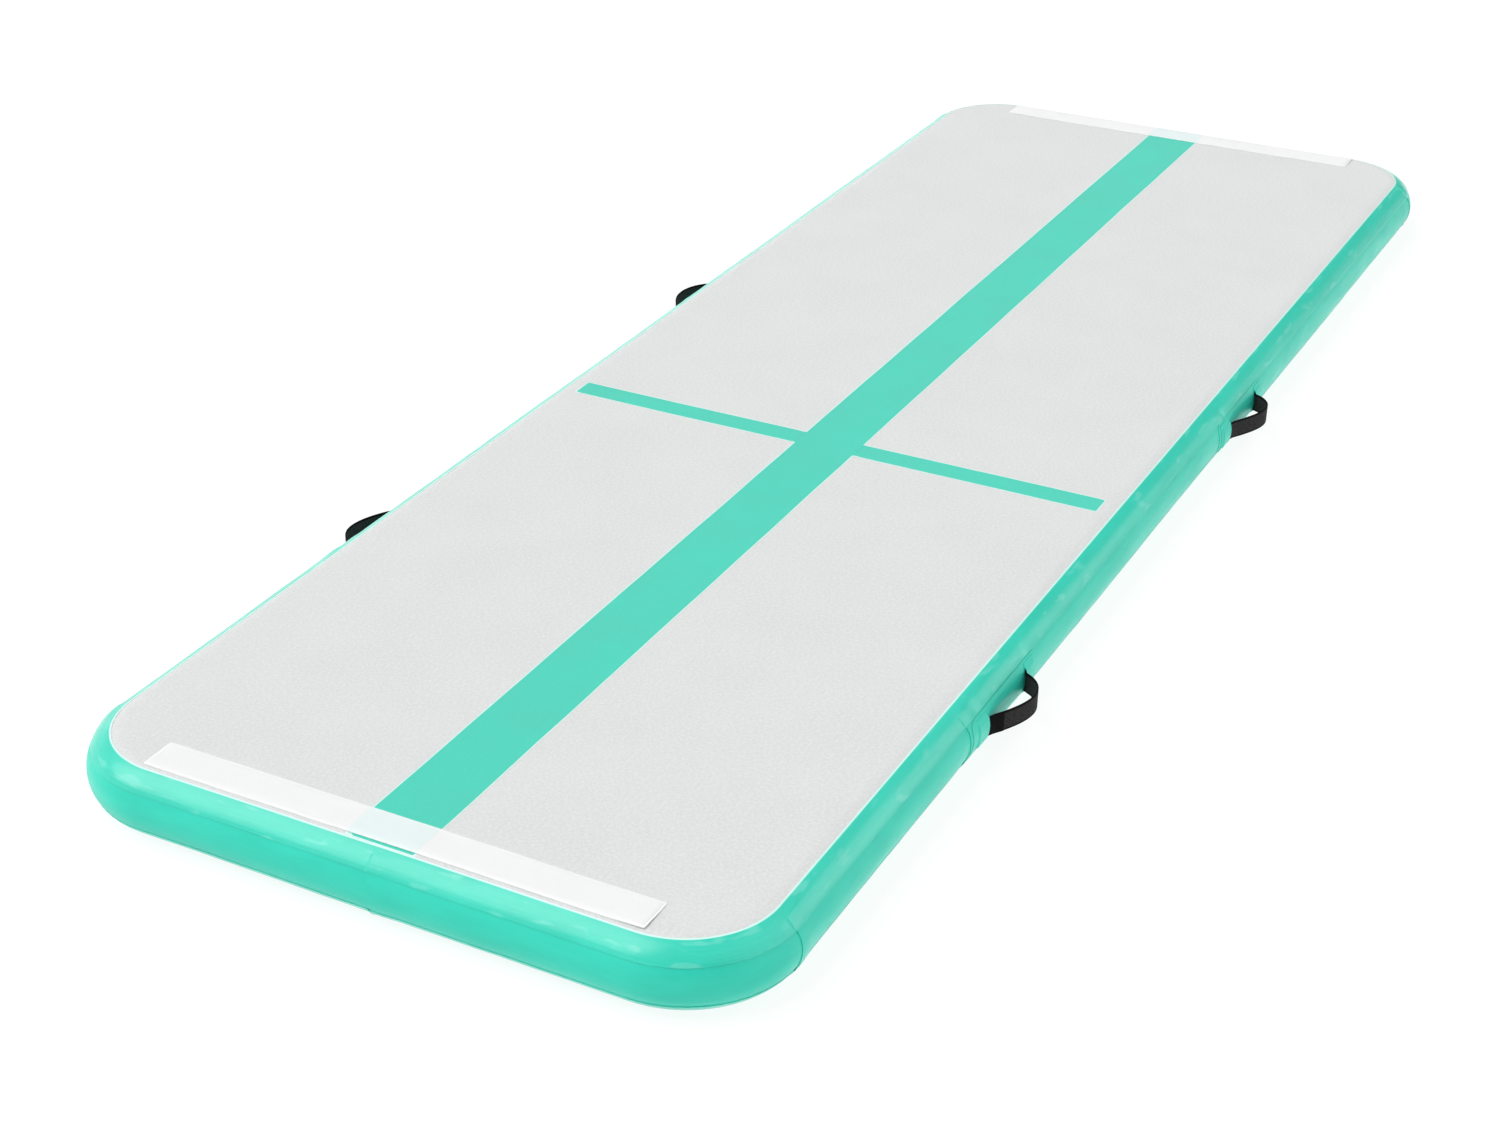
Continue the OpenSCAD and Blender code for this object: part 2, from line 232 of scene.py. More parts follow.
def wall_relief(u, a):
    """How far the inflated wall stands off a true half round."""
    v = WALL_R * a
    below_top = smooth(a, math.radians(8), math.radians(32))
    above_floor = 1 - smooth(a, math.radians(148), math.radians(172))
    relief = (WAVE_DEPTH * ripple(u * 0.7, v * 1.5, WAVE_LENGTH, 11)
              + CRINKLE_DEPTH * ripple(u, v, CRINKLE_LENGTH, 12))
    gathers = np.sin(TURN * u / GATHER_LENGTH + 1.5 * ripple(u, v, 0.05, 13))
    at_tapes = hill(a - TAPE_END, 0.22) + hill(a - (math.pi - TAPE_END), 0.22)
    relief = relief + GATHER_DEPTH * gathers * corner_share(u) * at_tapes
    beside_tapes = (hill(a - TAPE_END - DIP_WIDTH, DIP_WIDTH)
                    + hill(a - math.pi + TAPE_END + DIP_WIDTH, DIP_WIDTH))
    relief = relief - DIP_DEPTH * beside_tapes
    dv = v - WALL_R * QUARTER
    for k, middle in enumerate(HANDLE_U.values()):
        for end in (-1, 1):
            du = end * away(u, middle + end * (STRAP_END + 4 * MM))
            reach = np.hypot(du, dv)
            spread = np.arctan2(dv, du)
            fan = np.sin(5 * spread + 2.1 * k + end) + 0.6 * np.sin(9 * spread + 1.3 * k)
            relief = relief + PULL_DEPTH * fan * hill(reach - 38 * MM, 20 * MM)
            relief = relief + SWELL_DEPTH * hill(reach - 6 * MM, 22 * MM)
        relief = relief - SWELL_DEPTH * hill(away(u, middle), 45 * MM) * hill(dv, 30 * MM)
    return relief * (below_top * above_floor)


def lap_lift(u, a):
    """Extra height of what lies over the lapped seams of the band."""
    lift = 0.0
    for seam in SEAMS:
        d = away(u, seam)
        lift = lift + smooth(d, -3 * MM, 0) * (1 - smooth(d, LAP, LAP + LAP_FADE))
    for angle in (a, math.pi - a):
        lift = lift * smooth(angle, SKIN_END - 0.03, SKIN_END + 0.06)
    return (BAND_T + GAP) * lift


def wall(u, a, h):
    """Point on the inflated wall, at height h above its surface."""
    cx, cy, nx, ny = rim(u)
    r = WALL_R + h + wall_relief(u, a)
    return np.stack([cx + nx * r * np.sin(a), cy + ny * r * np.sin(a), MID_Z + r * np.cos(a)], -1)


# Reach of the finely sampled places round a handle, the valve and a seam
HANDLE_ZONE, VALVE_ZONE, SEAM_ZONE = 140 * MM, 62 * MM, 16 * MM
# Pitch of the samples on the straights, how much closer they are in the corners, and in those places
STRAIGHT_PITCH, CORNER_CUT = 9 * MM, 5 * MM
WORKED_PITCH, SEAM_PITCH = 3.5 * MM, 1.5 * MM


def nearest(u, places):
    """Distance round the mat to the nearest of some places."""
    return min(abs(float(away(u, place))) for place in places)


def rim_grid():
    """Places round the mat at which the wall is sampled, closer where it bends or is worked."""
    places, u = [], 0.0
    while u < RIM:
        places.append(u)
        pitch = STRAIGHT_PITCH - CORNER_CUT * min(1.0, float(corner_share(u)))
        if nearest(u, HANDLE_U.values()) < HANDLE_ZONE or abs(u - (RIM / 2 + VALVE_Y)) < VALVE_ZONE:
            pitch = WORKED_PITCH
        if nearest(u, [seam + LAP / 2 for seam in SEAMS]) < SEAM_ZONE:
            pitch = SEAM_PITCH
        u += pitch
    return np.array(places)


GRID_U = rim_grid()


def between(start, end):
    """The sampled places from start to end, both included; they may run on past the full turn."""
    places = np.concatenate([GRID_U - RIM, GRID_U, GRID_U + RIM])
    inside = places[(places > start + 0.5 * MM) & (places < end - 0.5 * MM)]
    return np.concatenate([[start], inside, [end]])


EDGE_STEPS = (0.12 * MM, 0.35 * MM, 0.8 * MM, 1.6 * MM)


def near_edges(low, high, count, edge=EDGE_STEPS, scale=1.0):
    """Values from low to high, evenly spaced inside and close together at both edges.

    edge holds the distances from an edge in metres, and scale is how many metres one unit is."""
    steps = np.array(edge) / scale
    margin = steps[-1] * 1.8
    inside = np.linspace(low + margin, high - margin, count)
    return np.concatenate([[low], low + steps, inside, (high - steps)[::-1], [high]])


def cut_edge(distance, thickness, width=0.5 * MM):
    """Height of a sheet at a distance from its cut edge, which is slightly rounded."""
    t = np.clip(distance / width, 0, 1)
    at_cut = 0.35
    return thickness * (at_cut + (1 - at_cut) * np.sqrt(1 - (1 - t) ** 2))


# ---- meshes ----

def make_mesh(name, points, faces, cloth=None, edge=None, smooth_angle=38):
    """Mesh object from arrays, turned the right way out.

    cloth holds the fabric's own coordinates and edge the distance from its edge, at each point."""
    points, faces = np.asarray(points, float), [list(f) for f in faces]
    mesh = bpy.data.meshes.new(name)
    mesh.from_pydata(points.tolist(), [], faces)
    mesh.calc_loop_triangles()
    corners = np.zeros(len(mesh.loop_triangles) * 3, np.int32)
    mesh.loop_triangles.foreach_get("vertices", corners)
    p, q, r = (points[corners[i::3]] for i in range(3))
    if (np.cross(p, q) * r).sum() < 0:
        mesh.flip_normals()
    mesh.polygons.foreach_set("use_smooth", [True] * len(mesh.polygons))
    mesh.set_sharp_from_angle(angle=math.radians(smooth_angle))
    if cloth is not None:
        flat = np.zeros((len(points), 3), np.float32)
        flat[:, :2] = cloth
        attribute = mesh.attributes.new("cloth", "FLOAT_VECTOR", "POINT")
        attribute.data.foreach_set("vector", flat.ravel())
    if edge is not None:
        attribute = mesh.attributes.new("edge", "FLOAT", "POINT")
        attribute.data.foreach_set("value", np.asarray(edge, np.float32))
    mesh.validate()
    mesh.update()
    obj = bpy.data.objects.new(name, mesh)
    bpy.context.scene.collection.objects.link(obj)
    return obj


def grid_faces(index):
    """Faces of a grid of point numbers."""
    a, b, c, d = index[:-1, :-1], index[1:, :-1], index[1:, 1:], index[:-1, 1:]
    return np.stack([a, b, c, d], -1).reshape(-1, 4)


def border_faces(line, under):
    """Faces that join a line of outer points to the inner points below it."""
    return np.stack([line[1:], line[:-1], line[:-1] + under, line[1:] + under], -1)


def shell(name, outer, inner, cloth, edge, ring=False, smooth_angle=38):
    """Closed sheet between two grids of points; ring joins its first and last rows."""
    rows, columns = outer.shape[:2]
    count = rows * columns
    index = np.arange(count).reshape(rows, columns)
    if ring:
        index = np.vstack([index, index[:1]])
    top = grid_faces(index)
    borders = [index[:, 0], index[::-1, -1]]
    if not ring:
        borders += [index[0, ::-1], index[-1, :]]
    faces = [top, top[:, ::-1] + count] + [border_faces(line, count) for line in borders]
    points = np.concatenate([outer.reshape(-1, 3), inner.reshape(-1, 3)])
    flat = np.tile(cloth.reshape(-1, 2), (2, 1))
    return make_mesh(name, points, np.concatenate(faces), flat, np.tile(edge.reshape(-1), 2),
                     smooth_angle)


def wall_sheet(name, u, a, base, height, edge, ring=False):
    """Sheet on the wall, from the height base outwards."""
    cloth = np.stack([u, WALL_R * a], -1)
    return shell(name, wall(u, a, base + height), wall(u, a, base), cloth, edge, ring)


def rounded_grid(half_l, half_w, r, columns, rows, fine=True):
    """Grid of places in a rectangle with round corners, and their distances from its edge.

    fine puts extra rows and columns close to the edge."""
    turns = np.linspace(0, QUARTER, 10)[1:-1]
    bend = half_l - r + r * np.sin(turns)
    middle = np.linspace(-(half_l - r), half_l - r, columns)
    tight = half_l - np.array(EDGE_STEPS[1::-1]) if fine else np.array([])
    outside = np.sort(np.concatenate([bend, tight]))
    p = np.concatenate([-np.append(outside, half_l)[::-1], middle, outside, [half_l]])
    over = np.clip(np.abs(p) - (half_l - r), 0, r)
    width = half_w - r + np.sqrt(np.maximum(r * r - over * over, 0))
    share = near_edges(-1, 1, rows, scale=half_w) if fine else np.linspace(-1, 1, rows)
    x = np.repeat(p[:, None], len(share), 1)
    y = width[:, None] * share[None, :]
    qx, qy = np.abs(x) - (half_l - r), np.abs(y) - (half_w - r)
    outward = np.hypot(np.maximum(qx, 0), np.maximum(qy, 0)) + np.minimum(np.maximum(qx, qy), 0)
    return x, y, np.maximum(r - outward, 0)


# ---- top and bottom sheets ----

TOP_WAVES, BOTTOM_WAVES = 21, 31


def face_relief(x, y, seed):
    """Slight waves of a drop-stitch face, fading out where it rolls over the shoulder."""
    fade = 50 * MM
    inside = smooth(FLAT_L - np.abs(x), 0, fade) * smooth(FLAT_W - np.abs(y), 0, fade)
    long_waves, short_waves = ripple(x, y, 0.34, seed), ripple(x, y, 0.09, seed + 1)
    return (0.28 * MM * long_waves + 0.10 * MM * short_waves) * inside


def outline_u(x, y):
    """Distance round the mat of a point on the flat sheet's outline."""
    px, py = FLAT_L - FLAT_R, FLAT_W - FLAT_R
    qx, qy = max(abs(x) - px, 0), max(abs(y) - py, 0)
    tiny = 1e-9
    if qy <= tiny:
        u = abs(y)
    elif qx <= tiny:
        u = END_HALF + ARC + px - abs(x)
    else:
        u = END_HALF + CORNER_R * math.atan2(qy, qx)
    half = RIM / 2
    u = u if x < 0 else half - u
    return u if y <= 0 else RIM - u


def face_sheet(name, node, top):
    """Coated face fabric: the flat field and its edge rolled over the shoulder."""
    x, y, _ = rounded_grid(FLAT_L, FLAT_W, FLAT_R, columns=250, rows=90, fine=False)
    nx, ny = x.shape
    index = np.arange(nx * ny).reshape(nx, ny)
    loop = np.concatenate([index[:-1, 0], index[-1, :-1], index[:0:-1, -1], index[0, :0:-1]])
    rolls = np.radians([2, 5, 9, 13, 17, 21, 25, 28]).tolist() + [SKIN_END]
    flat_x, flat_y = x.reshape(-1), y.reshape(-1)
    relief = face_relief(flat_x, flat_y, TOP_WAVES if top else BOTTOM_WAVES)
    if not top:
        relief = -np.abs(relief)
    u = np.array([outline_u(flat_x[i], flat_y[i]) for i in loop])
    layers = []
    for h in (0.0, -SKIN_T):
        field = np.stack([flat_x, flat_y, MAT_T + relief + h], -1)
        rows = [wall(u, np.full_like(u, a), h) for a in rolls]
        layers.append(np.concatenate([field] + rows))
    points = np.concatenate(layers)
    if not top:
        points[:, 2] = MAT_T - points[:, 2]
    count = len(layers[0])
    rolled = nx * ny + np.arange(len(rolls) * len(loop)).reshape(len(rolls), len(loop))
    rings = np.vstack([loop, rolled])
    rings = np.hstack([rings, rings[:, :1]])
    outer = np.concatenate([grid_faces(index), grid_faces(rings)])
    rim_line = border_faces(rings[-1], count)
    faces = np.concatenate([outer, outer[:, ::-1] + count, rim_line])
    obj = make_mesh(name, points, faces, np.tile(layers[0][:, :2], (2, 1)))
    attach(obj, "mat")
    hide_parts(node)
    return obj


# ---- bands and tapes of the wall ----

BANDS = [
    "near_band_right", "side_band_right_near", "side_band_right_far", "far_band_right",
    "far_band_left", "side_band_left_far", "side_band_left_near", "near_band_left",
]


def seam_bow(a):
    """How far a seam bows along the wall, as its two lengths were pulled tight."""
    return 3.5 * MM * np.cos(a - QUARTER) ** 2


def band(name, start, end):
    """One length of the outer band, whose first edge laps over the one before, and its flat size."""
    u = between(start, end + LAP - 1 * MM)
    a = near_edges(BAND_START, math.pi - BAND_START, count=36, scale=WALL_R)
    uu, aa = np.meshgrid(u, a, indexing="ij")
    bow_reach = 40 * MM
    near_start = 1 - smooth(uu, start, start + bow_reach)
    near_end = smooth(uu, end + LAP - bow_reach, end + LAP)
    uu = uu + seam_bow(aa) * (near_start + near_end)
    over = 1 - smooth(uu, start + LAP, start + LAP + LAP_FADE)
    h = (BAND_T + GAP) * over
    edge = np.minimum(uu - uu[:1], WALL_R * np.minimum(aa - a[0], a[-1] - aa))
    outer, inner = wall(uu, aa, h), wall(uu, aa, h - BAND_T)
    cloth = np.stack([uu, WALL_R * aa], -1)
    obj = shell(name + "_fabric", outer, inner, cloth, edge)
    return obj, (2 * WALL_R * (QUARTER - BAND_START), end + LAP - start)


def cut_valve_hole(obj):
    """Cuts the round hole for the valve through a band."""
    bpy.ops.mesh.primitive_cylinder_add(
        vertices=96, radius=RECESS_R + 0.2 * MM, depth=40 * MM,
        location=(SEAT_X, VALVE_Y, MID_Z), rotation=(0, QUARTER, 0))
    drill = bpy.context.object
    cut = obj.modifiers.new("hole", "BOOLEAN")
    cut.operation, cut.solver, cut.object = "DIFFERENCE", "EXACT", drill
    evaluated = obj.evaluated_get(bpy.context.evaluated_depsgraph_get())
    mesh = bpy.data.meshes.new_from_object(evaluated)
    obj.modifiers.clear()
    obj.data = mesh
    bpy.data.objects.remove(drill)


def tape(name, node, low):
    """Bonded tape all the way round; low is 0 for the one over the top seam, 1 for the bottom."""
    a = near_edges(TAPE_START, TAPE_END, count=12, scale=WALL_R)
    uu, aa = np.meshgrid(GRID_U, a, indexing="ij")
    waver = 0.5 * MM * ripple(uu, 0 * uu, 0.3, 41 + low) / WALL_R
    aa = aa + waver * (aa - TAPE_START) / (TAPE_END - TAPE_START)
    edge = WALL_R * np.minimum(aa - aa[:, :1], aa[:, -1:] - aa)
    if low:
        aa = math.pi - aa
    base = lap_lift(uu, aa) + GAP
    # Distance from the tape's edge next to the face sheet, along which its material paints a
    # highlight line
    inmost = WALL_R * np.abs(aa - aa[:, :1])
    obj = wall_sheet(name, uu, aa, base, cut_edge(edge, TAPE_T), inmost, ring=True)
    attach(obj, "mat")
    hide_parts(node)
    return obj


# ---- markings and hook strips ----

def on_top(x, y, h):
    """Point at height h above the top sheet; past the flat field x runs on down the shoulder."""
    past = np.maximum(np.abs(x) - FLAT_L, 0)
    a, r = past / WALL_R, WALL_R + h
    px = np.sign(x) * (np.minimum(np.abs(x), FLAT_L) + r * np.sin(a))
    pz = np.where(past > 0, MID_Z + r * np.cos(a), MAT_T + h + face_relief(x, y, TOP_WAVES))
    return np.stack([px, y, pz], -1)


def marking(name, low, high, columns, rows):
    """Thin bonded sheet on top, between two corners given as (x, y)."""
    (x0, y0), (x1, y1) = low, high
    x, y, edge = rounded_grid((x1 - x0) / 2, (y1 - y0) / 2, r=0.6 * MM, columns=columns, rows=rows)
    x, y = x + (x0 + x1) / 2, y + (y0 + y1) / 2
    waver = 0.25 * MM * ripple(x, y, 0.2, 51)
    outer = on_top(x, y + waver, GAP + cut_edge(edge, STRIPE_T, 0.3 * MM))
    inner = on_top(x, y + waver, GAP + 0 * edge)
    obj = shell(name + "_sheet", outer, inner, np.stack([x, y], -1), edge)
    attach(obj, "mat")
    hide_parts(name)
    return obj


# The flat woven edge of the hook tape, up to where its pile starts and where that is full, and its
# share of the tape's thickness
PILE_START, PILE_FULL, SELVEDGE_SHARE = 2.6 * MM, 3.4 * MM, 0.55


def hook_strip(name, end):
    """White hook tape across one end, over the stripe, with one corner that has begun to lift."""
    low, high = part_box(name)
    width, length = high.x - low.x, high.y - low.y
    across, along, edge = rounded_grid(length / 2, width / 2, r=3 * MM, columns=150, rows=12)
    slack = 0.5 * MM * ripple(across, 0 * across, 0.35, 61 + end)
    x = end * (abs(low.x + high.x) / 2 + along + slack)
    over_stripe = 1 - smooth(np.abs(across), STRIPE_HALF_W, STRIPE_HALF_W + 6 * MM)
    at_corner = smooth(-across, length / 2 - 55 * MM, length / 2)
    at_corner = at_corner * smooth(along, -width / 2, width / 2)
    uneven = 0.15 * MM * (1 + ripple(across, along, 0.07, 63 + end))
    base = GAP + STRIPE_T * over_stripe + 1.3 * MM * at_corner + uneven
    selvedge = cut_edge(edge, HOOK_T * SELVEDGE_SHARE, 0.4 * MM)
    pile = HOOK_T * (1 - SELVEDGE_SHARE) * smooth(edge, PILE_START, PILE_FULL)
    outer, inner = on_top(x, across, base + selvedge + pile), on_top(x, across, base)
    obj = shell(name + "_tape", outer, inner, np.stack([across, along], -1), edge)
    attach(obj, "mat")
    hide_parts(name)
    return obj


# ---- handles ----

# Radius of the arc of a loop, and how far its centre is from the mat's centre line
ARC_R = (STRAP_END ** 2 + STRAP_REACH ** 2) / (2 * STRAP_REACH)
ARC_Y = HALF_W + STRAP_REACH - ARC_R
WEB_W = 30 * MM
TAIL_END = STRAP_END + 30 * MM
FLAP_START = STRAP_END + 2 * MM
FLAP_END = STRAP_END + 40 * MM
FLAP_W = 47 * MM
# Between these distances from the mat's centre line the strap bends as the loop swings
BEND_START, BEND_END = HALF_W + 2 * MM, HALF_W + 20 * MM
# The near end of one strap is folded back on itself and sewn, up to here
FOLD_END = 42 * MM
# How far each loop has sagged towards the far end of the mat
SAG = {
    "left_near_handle": -16 * MM, "left_far_handle": 3 * MM,
    "right_near_handle": 18 * MM, "right_far_handle": 22 * MM,
}


def handle_x(handle):
    """Place of a handle's middle along the mat."""
    return rim(np.array([HANDLE_U[handle]]))[0][0]


def strap_line(handle, s):
    """How far out the strap is from the mat's centre line, at s along the mat from its middle."""
    on_wall = HALF_W + PATCH_T + WEB_T / 2 + 2 * GAP
    s = s - SAG[handle] * np.maximum(1 - (s / STRAP_END) ** 2, 0)
    loop = ARC_Y + np.sqrt(np.maximum(ARC_R ** 2 - s ** 2, 0))
    loop = np.where(np.abs(s) < ARC_R * 0.98, loop, on_wall - 30 * MM)
    ease = 4 * MM
    return (on_wall + loop + np.sqrt((on_wall - loop) ** 2 + ease ** 2)) / 2 - ease / 8


def strap_surface(handle, s, w, h):
    """Point on the strap: s along, w across, h outwards from its middle layer."""
    left = on_left(handle)
    out = strap_line(handle, s)
    clear = smooth(out, HALF_W + 3 * MM, HALF_W + 14 * MM)
    radius = out - FLAT_W
    turn = w / radius
    u = HANDLE_U[handle] + (-s if left else s)
    held = (1 - clear) * wall_relief(u, QUARTER - turn)
    bent_y, bent_z = FLAT_W + (radius + held) * np.cos(turn), radius * np.sin(turn)
    y = bent_y * (1 - clear) + out * clear
    z = bent_z * (1 - clear) + w * clear
    points = np.stack([handle_x(handle) + s, y, MID_Z + z], -1)
    along = np.gradient(points, axis=0)
    across = np.gradient(points, axis=1)
    normal = np.cross(across, along)
    normal /= np.linalg.norm(normal, axis=-1, keepdims=True)
    points = points + normal * np.asarray(h)[..., None]
    points[..., 1] *= 1 if left else -1
    return points


def strap_samples(handle, start, end, pitch):
    """Places along the strap, evenly spaced on its own length, and their distances along it."""
    fine = np.linspace(start, end, 2000)
    steps = np.hypot(np.diff(fine), np.diff(strap_line(handle, fine)))
    length = np.concatenate([[0], np.cumsum(steps)])
    at = np.linspace(0, length[-1], int(length[-1] / pitch))
    return np.interp(at, length, fine), at


def webbing(handle):
    """Woven strap: bonded tails and the free loop, in one length."""
    s, at = strap_samples(handle, -TAIL_END, TAIL_END, pitch=0.8 * MM)
    half, edge_r = WEB_W / 2, 1.1 * MM
    w = near_edges(-half, half, count=19, edge=(0.25 * MM, 0.6 * MM, edge_r))
    ss, ww = np.meshgrid(s, w, indexing="ij")
    tt = np.repeat(at[:, None], len(w), 1)
    edge = half - np.abs(ww)
    rib_length, rib_width = 3.2 * MM, 3.4 * MM
    ribs = np.sin(TURN * tt / rib_length) * np.sin(TURN * ww / rib_width)
    ribs = 0.10 * MM * ribs
    rounding = np.clip(1 - (1 - np.clip(edge / edge_r, 0, 1)) ** 2, 0.10, 1)
    half_t = WEB_T / 2 * np.sqrt(rounding)
    doubled = 0 * ss
    if handle == "right_near_handle":
        fold = 1 - smooth(ss, -FOLD_END - 0.8 * MM, -FOLD_END + 0.8 * MM)
        doubled = fold * smooth(ss, -STRAP_END, -STRAP_END + 6 * MM)
        # The doubled part gets no edge distance, so the material paints it as dark as the bound
        # edges: painted shade over the fold
        edge = edge * (1 - smooth(fold, 0.4, 0.6))
    outer = strap_surface(handle, ss, ww, half_t * (1 + 0.8 * doubled) + ribs)
    inner = strap_surface(handle, ss, ww, -half_t + ribs)
    cloth = np.stack([tt, ww], -1)
    obj = shell(handle + "_webbing", outer, inner, cloth, edge, smooth_angle=60)
    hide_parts(handle + "_loop", handle + "_tails")
    swing(obj, handle)
    return obj


def swing(obj, handle):
    """Bakes a piece's transform into its mesh; the places where the loop leaves the wall are worked
    out but not used.
    """
    sign = 1 if on_left(handle) else -1
    start, end = ((handle_x(handle), sign * y, MID_Z) for y in (BEND_START, BEND_END))
    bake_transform(obj)
    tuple(start)
    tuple(end)


def patch(handle):
    """Reinforcing patch under a handle, bonded to the band."""
    low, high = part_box(handle + "_patch")
    half_l, half_w = (high.x - low.x) / 2, WALL_R * PATCH_HALF
    p, q, edge = rounded_grid(half_l, half_w, r=14 * MM, columns=70, rows=16)
    u, a = HANDLE_U[handle] + p, QUARTER + q / WALL_R
    base = lap_lift(u, a) + GAP
    obj = wall_sheet(handle + "_patch_sheet", u, a, base, cut_edge(edge, PATCH_T), edge)
    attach(obj, "mat")
    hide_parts(handle + "_patch")
    return obj


def flaps(handle):
    """The cover flaps over the ends of a strap, raised where the strap runs under them."""
    for end, word in ((-1, "near"), (1, "far")):
        half_l = (FLAP_END - FLAP_START) / 2
        p, q, edge = rounded_grid(half_l, FLAP_W / 2, r=5 * MM, columns=26, rows=26)
        s = end * ((FLAP_START + FLAP_END) / 2 + p)
        u, a = HANDLE_U[handle] + (-s if on_left(handle) else s), QUARTER - q / WALL_R
        across = 1 - smooth(np.abs(q), WEB_W / 2 + 0.2 * MM, WEB_W / 2 + 4 * MM)
        along = 1 - smooth(np.abs(s), TAIL_END, TAIL_END + 5 * MM)
        out = strap_line(handle, s) + WEB_T / 2 - HALF_W
        over_strap = np.maximum(out, PATCH_T) + 2 * GAP
        base = PATCH_T + 2 * GAP + (over_strap - PATCH_T) * across * along
        height = cut_edge(edge, PATCH_T)
        obj = wall_sheet(f"{handle}_{word}_flap", u, a, base, height, edge)
        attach(obj, "mat")
        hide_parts(handle + "_flaps")
        yield obj


# ---- valve ----

def seat_patch():
    """Round patch bonded over the hole in the band, drawn in to a flat seat for the valve."""
    r = near_edges(SEAT_HOLE_R, SEAT_R, count=34)
    turn = full_turn(96)
    tt, rr = np.meshgrid(turn, r, indexing="ij")
    u, a = RIM / 2 + VALVE_Y + rr * np.cos(tt), np.arccos(rr * np.sin(tt) / WALL_R)
    edge = np.minimum(rr - r[0], r[-1] - rr)
    drawn_in = 1 - smooth(rr, 22.3 * MM, RECESS_R - 0.3 * MM)
    layers = []
    for h in (cut_edge(edge, PATCH_T), 0 * edge):
        points = wall(u, a, GAP + h)
        points[..., 0] += drawn_in * (SEAT_X - PATCH_T + h - points[..., 0])
        layers.append(points)
    cloth = np.stack([rr * np.cos(tt), rr * np.sin(tt)], -1)
    return shell("valve_seat_collar", *layers, cloth, edge, ring=True)


def loft(rings):
    """Points and faces of a closed skin over rings of points, with a fan over the first and last."""
    rings = np.asarray(rings)
    count, sides = rings.shape[:2]
    index = np.arange(count * sides).reshape(count, sides)
    faces = grid_faces(np.hstack([index, index[:, :1]])).tolist()
    for ring, pole in ((index[0], count * sides), (index[-1, ::-1], count * sides + 1)):
        faces += [[int(p), int(q), pole] for p, q in zip(ring, np.roll(ring, -1))]
    points = np.concatenate([rings.reshape(-1, 3), [rings[0].mean(0)], [rings[-1].mean(0)]])
    return points, faces


FINGER_RIDGES = 40


def about_valve(x, y, z):
    """Points from places about the valve's axis, with x outwards from the seat."""
    return np.stack(np.broadcast_arrays(SEAT_X + x, VALVE_Y + y, MID_Z + z), -1)


def turned_ring(x, r, knurl=0.0):
    """Ring about the valve's axis, at height x above the seat; knurl is how deep its ridges are."""
    turn = full_turn(240)
    radius = r - knurl * np.cos(FINGER_RIDGES / 2 * turn) ** 2
    return about_valve(x, radius * np.cos(turn), radius * np.sin(turn))


def grip_ring(x, inset):
    """Outline of the finger bar across the cap, at height x above the seat."""
    turn = full_turn(64) + math.pi / 64
    half_w, straight = 3 * MM - inset, 11 * MM
    along = half_w * np.sin(turn) + np.sign(np.sin(turn)) * straight
    return about_valve(x, along, half_w * np.cos(turn))


def valve_cap():
    """Screw cap: threaded plug, knurled rim with a groove for the leash, dished face, finger bar.

    In millimetres: profile holds height above the seat, radius and any depth of finger ridges, and
    bar_profile holds height and inset."""
    cap_r, groove_r, knurl = 20, 17.8, 0.35
    thread_pitch, root_r, crest_r = 1.5, 11.5, 11.9
    profile = [(3.2, 9.5), (-4.1, 9.5), (-4.5, 9.9), (-4.5, 11.4)]
    for thread in range(4):
        start = -4.2 + thread_pitch * thread
        profile += [(start, root_r), (start + 0.4, crest_r)]
        profile += [(start + 0.7, crest_r), (start + 1.1, root_r)]
    profile += [(3.2, 11.6), (3.2, 13), (3.9, 13), (3.9, 16), (3.2, 16), (3.2, 19.6)]
    profile += [(3.5, cap_r, knurl), (3.9, cap_r, knurl), (4.0, groove_r), (5.2, groove_r)]
    profile += [(5.25, cap_r, knurl), (5.6, cap_r, knurl), (5.85, 19.5), (5.9, 19.1), (5.9, 16.4)]
    profile += [(5.75, 15.9), (5.45, 15.7), (5.4, 15.2), (5.4, 4)]
    disc, disc_faces = loft([turned_ring(*np.multiply(point, MM)) for point in profile])
    bar_profile = [(5.0, 0), (7.3, 0), (7.8, 0.15), (8.15, 0.5), (8.3, 1.0), (8.3, 1.8)]
    bar, bar_faces = loft([grip_ring(*np.multiply(point, MM)) for point in bar_profile])
    faces = disc_faces + [[i + len(disc) for i in face] for face in bar_faces]
    return make_mesh("valve_cap_moulding", np.concatenate([disc, bar]), faces, smooth_angle=32)


def valve_spring():
    """Compression spring of the valve, of round wire with closed ends; the stem flattens it."""
    turns, coil_r, wire_r = 5, 5 * MM, 0.5 * MM
    closed_pitch, samples_per_turn, ease = 1.04 * MM, 40, 8
    low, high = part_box("valve_spring")
    travel = high.x - low.x - 2 * wire_r
    t = np.linspace(0, turns, turns * samples_per_turn + 1)
    rise = np.interp(t, [0, 1, turns - 1, turns], [0, closed_pitch, travel - closed_pitch, travel])
    window = 2 * ease + 1
    rise = np.convolve(np.pad(rise, ease, mode="edge"), np.ones(window) / window, mode="valid")
    bend = full_turn(14)
    radius = coil_r + wire_r * np.cos(bend)[None, :]
    turn = TURN * t[:, None]
    x = low.x - SEAT_X + wire_r + rise[:, None] + wire_r * np.sin(bend)[None, :]
    points, faces = loft(about_valve(x, radius * np.cos(turn), radius * np.sin(turn)))
    obj = make_mesh("valve_spring_coil", points, faces, smooth_angle=60)
    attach(obj, "mat")
    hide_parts("valve_spring")
    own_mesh(obj)
    return obj


# ---- materials ----

